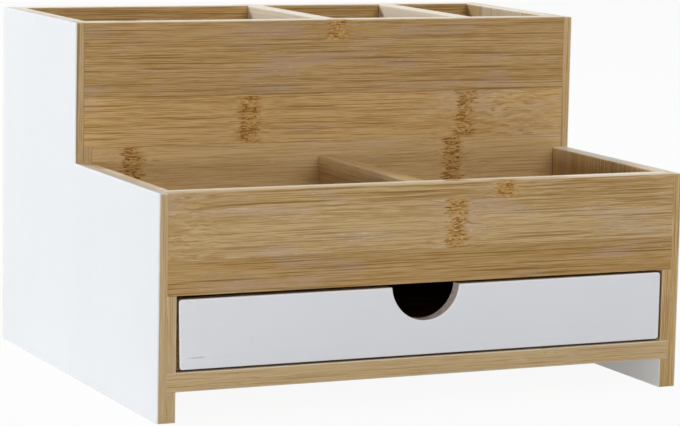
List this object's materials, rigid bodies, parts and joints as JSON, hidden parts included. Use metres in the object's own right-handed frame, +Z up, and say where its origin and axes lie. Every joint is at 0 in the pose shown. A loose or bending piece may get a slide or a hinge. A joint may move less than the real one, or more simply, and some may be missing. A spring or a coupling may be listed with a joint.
{
  "type": "makeup organizer",
  "caption": "Stepped tabletop makeup organizer in bamboo with white sides, open divided compartments and a sliding drawer with a half-round finger notch.",
  "frame": {"origin": "on the table, under the middle of the case's footprint", "axes": "+X along the width to the right as seen from the front, +Y from the front to the back, +Z up"},
  "size_m": [0.24, 0.2, 0.153],
  "materials": {
    "bamboo": "clear matt lacquer over flat-laminated bamboo",
    "painted_side": "white satin paint on the outer face, clear lacquer elsewhere",
    "painted_drawer": "white satin paint",
    "drawer_wood": "clear matt lacquer",
    "drawer_ply": "bare sanded plywood",
    "brad_steel": "bright drawn wire",
    "painted_filler": "sanded filler under white satin paint"
  },
  "bodies": {
    "case": {"left_side_panel": "painted_side", "right_side_panel": "painted_side", "back_panel": "bamboo", "upper_front_panel": "bamboo", "lower_front_panel": "bamboo", "compartment_floor": "bamboo", "bottom_board": "bamboo", "front_divider": "bamboo", "rear_divider_left": "bamboo", "rear_divider_right": "bamboo", "brads": "brad_steel", "brad_fillers": "painted_filler"},
    "drawer": {"drawer_front": "painted_drawer", "drawer_side_left": "drawer_wood", "drawer_side_right": "drawer_wood", "drawer_back": "drawer_wood", "drawer_bottom": "drawer_ply"}
  },
  "joints": [
    {"name": "drawer_slide", "type": "slide", "parent": "case", "child": "drawer", "axis": [0, -1, 0], "range_m": [0, 0.15]}
  ]
}
